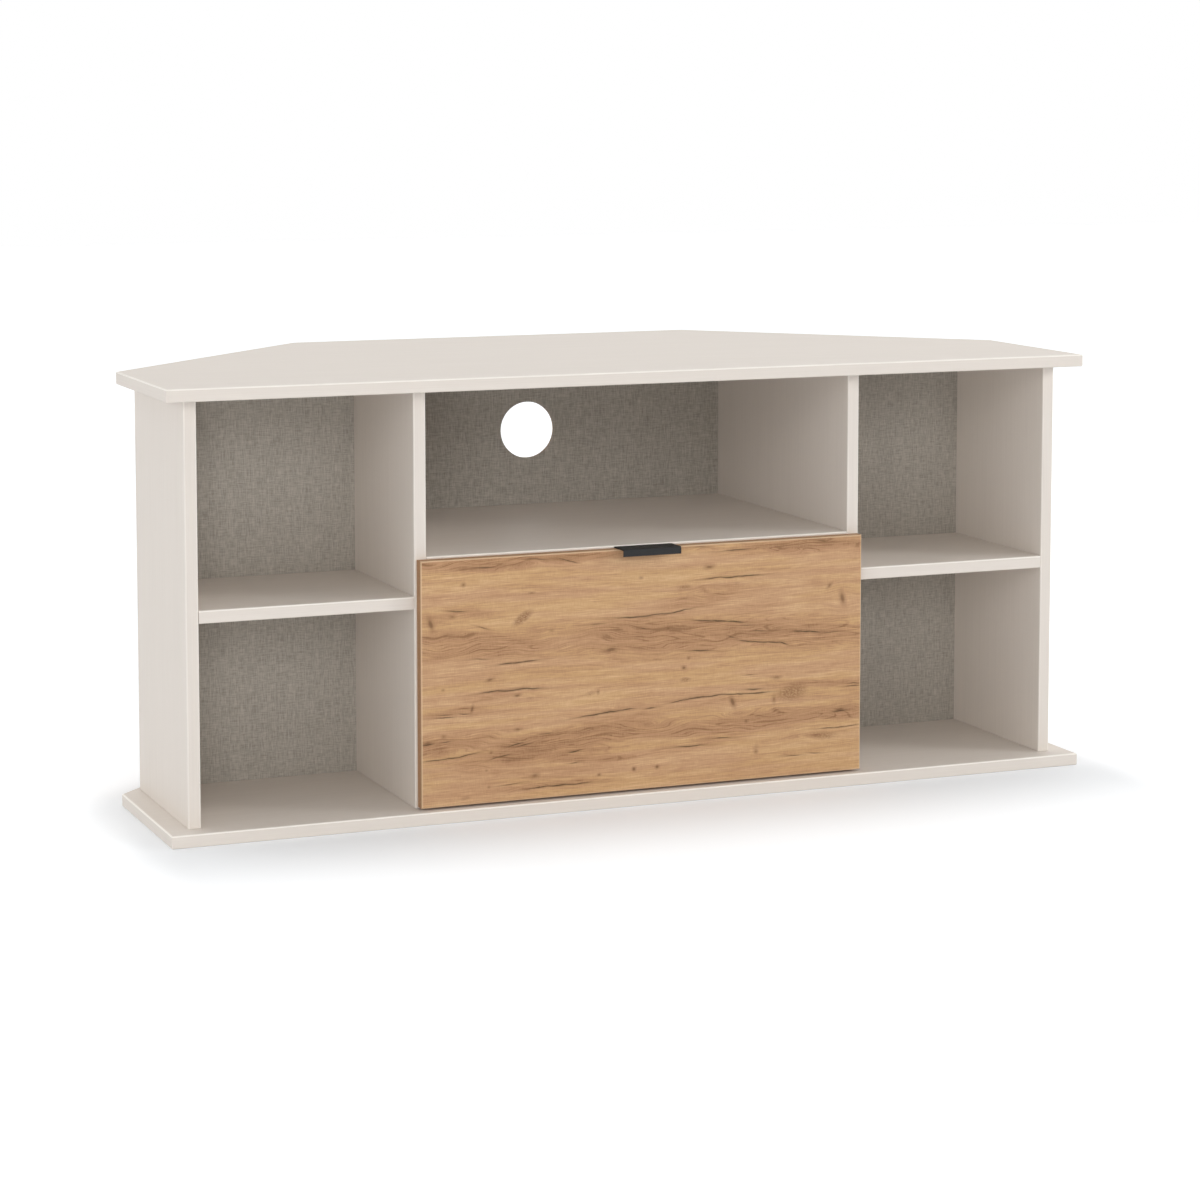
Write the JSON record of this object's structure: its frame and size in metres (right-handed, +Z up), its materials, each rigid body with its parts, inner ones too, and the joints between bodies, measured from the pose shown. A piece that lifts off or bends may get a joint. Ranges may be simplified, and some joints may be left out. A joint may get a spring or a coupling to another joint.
{
  "type": "corner tv cabinet",
  "caption": "Corner television cabinet with cut rear corners, open shelves at both sides, an open media bay with a cable hole and a deep drawer on roller runners below it.",
  "frame": {"origin": "on the floor, under the middle of the cabinet's bounding box", "axes": "+X to the right seen from the front, +Y from the front to the back, +Z up"},
  "size_m": [1.17, 0.5476, 0.52],
  "materials": {
    "cashmere_board": "cashmere satin melamine-faced board",
    "linen_back": "matt linen-effect printed hardboard",
    "oak_front": "knotty oak-effect board with horizontal grain",
    "drawer_foil": "foil-wrapped board, smooth satin",
    "black_handle": "matt black powder coat",
    "runner_steel": "white epoxy-coated steel",
    "roller_nylon": "natural nylon",
    "zinc_screw": "zinc-plated steel",
    "beech_dowel": "plain beech"
  },
  "bodies": {
    "cabinet": {"top_board": "cashmere_board", "base_board": "cashmere_board", "left_side_panel": "cashmere_board", "right_side_panel": "cashmere_board", "left_divider": "cashmere_board", "right_divider": "cashmere_board", "centre_shelf": "cashmere_board", "left_shelf": "cashmere_board", "right_shelf": "cashmere_board", "left_back_board": "linen_back", "right_back_board": "linen_back", "centre_back_board": "linen_back", "left_cabinet_runner": "runner_steel", "right_cabinet_runner": "runner_steel", "left_side_foot_dowel_front": "beech_dowel", "left_side_foot_dowel_rear": "beech_dowel", "left_side_head_dowel_front": "beech_dowel", "left_side_head_dowel_rear": "beech_dowel", "left_divider_foot_dowel_front": "beech_dowel", "left_divider_foot_dowel_rear": "beech_dowel", "left_divider_head_dowel_front": "beech_dowel", "left_divider_head_dowel_rear": "beech_dowel", "centre_shelf_left_dowel_front": "beech_dowel", "centre_shelf_left_dowel_rear": "beech_dowel", "left_shelf_inner_dowel_front": "beech_dowel", "left_shelf_inner_dowel_rear": "beech_dowel", "left_shelf_outer_dowel_front": "beech_dowel", "left_shelf_outer_dowel_rear": "beech_dowel", "right_side_foot_dowel_front": "beech_dowel", "right_side_foot_dowel_rear": "beech_dowel", "right_side_head_dowel_front": "beech_dowel", "right_side_head_dowel_rear": "beech_dowel", "right_divider_foot_dowel_front": "beech_dowel", "right_divider_foot_dowel_rear": "beech_dowel", "right_divider_head_dowel_front": "beech_dowel", "right_divider_head_dowel_rear": "beech_dowel", "centre_shelf_right_dowel_front": "beech_dowel", "centre_shelf_right_dowel_rear": "beech_dowel", "right_shelf_inner_dowel_front": "beech_dowel", "right_shelf_inner_dowel_rear": "beech_dowel", "right_shelf_outer_dowel_front": "beech_dowel", "right_shelf_outer_dowel_rear": "beech_dowel"},
    "drawer": {"drawer_front": "oak_front", "drawer_handle": "black_handle", "drawer_left_side": "drawer_foil", "drawer_right_side": "drawer_foil", "drawer_inner_front": "drawer_foil", "drawer_back": "drawer_foil", "drawer_bottom": "drawer_foil", "left_drawer_runner": "runner_steel", "right_drawer_runner": "runner_steel", "left_low_front_screw": "zinc_screw", "left_high_front_screw": "zinc_screw", "right_low_front_screw": "zinc_screw", "right_high_front_screw": "zinc_screw"},
    "left_front_roller": {"left_front_roller": "roller_nylon"},
    "left_rear_roller": {"left_rear_roller": "roller_nylon"},
    "right_front_roller": {"right_front_roller": "roller_nylon"},
    "right_rear_roller": {"right_rear_roller": "roller_nylon"}
  },
  "joints": [
    {"name": "drawer_slide", "type": "slide", "parent": "cabinet", "child": "drawer", "axis": [0, -1, 0], "range_m": [0, 0.26]},
    {"name": "left_front_roller_spin", "type": "hinge", "parent": "cabinet", "child": "left_front_roller", "pos_m": [-0.2663, -0.22725, 0.0307], "axis": [1, 0, 0], "range_deg": [-10, 1470]},
    {"name": "left_rear_roller_spin", "type": "hinge", "parent": "drawer", "child": "left_rear_roller", "pos_m": [-0.2655, 0.09365, 0.0307], "axis": [1, 0, 0], "range_deg": [-10, 1470]},
    {"name": "right_front_roller_spin", "type": "hinge", "parent": "cabinet", "child": "right_front_roller", "pos_m": [0.2663, -0.22725, 0.0307], "axis": [1, 0, 0], "range_deg": [-10, 1470]},
    {"name": "right_rear_roller_spin", "type": "hinge", "parent": "drawer", "child": "right_rear_roller", "pos_m": [0.2655, 0.09365, 0.0307], "axis": [1, 0, 0], "range_deg": [-10, 1470]}
  ],
  "couplings": [
    {"joint": "left_front_roller_spin", "follows": "drawer_slide", "rad_per_m": 98.039},
    {"joint": "left_rear_roller_spin", "follows": "drawer_slide", "rad_per_m": 98.039},
    {"joint": "right_front_roller_spin", "follows": "drawer_slide", "rad_per_m": 98.039},
    {"joint": "right_rear_roller_spin", "follows": "drawer_slide", "rad_per_m": 98.039}
  ]
}
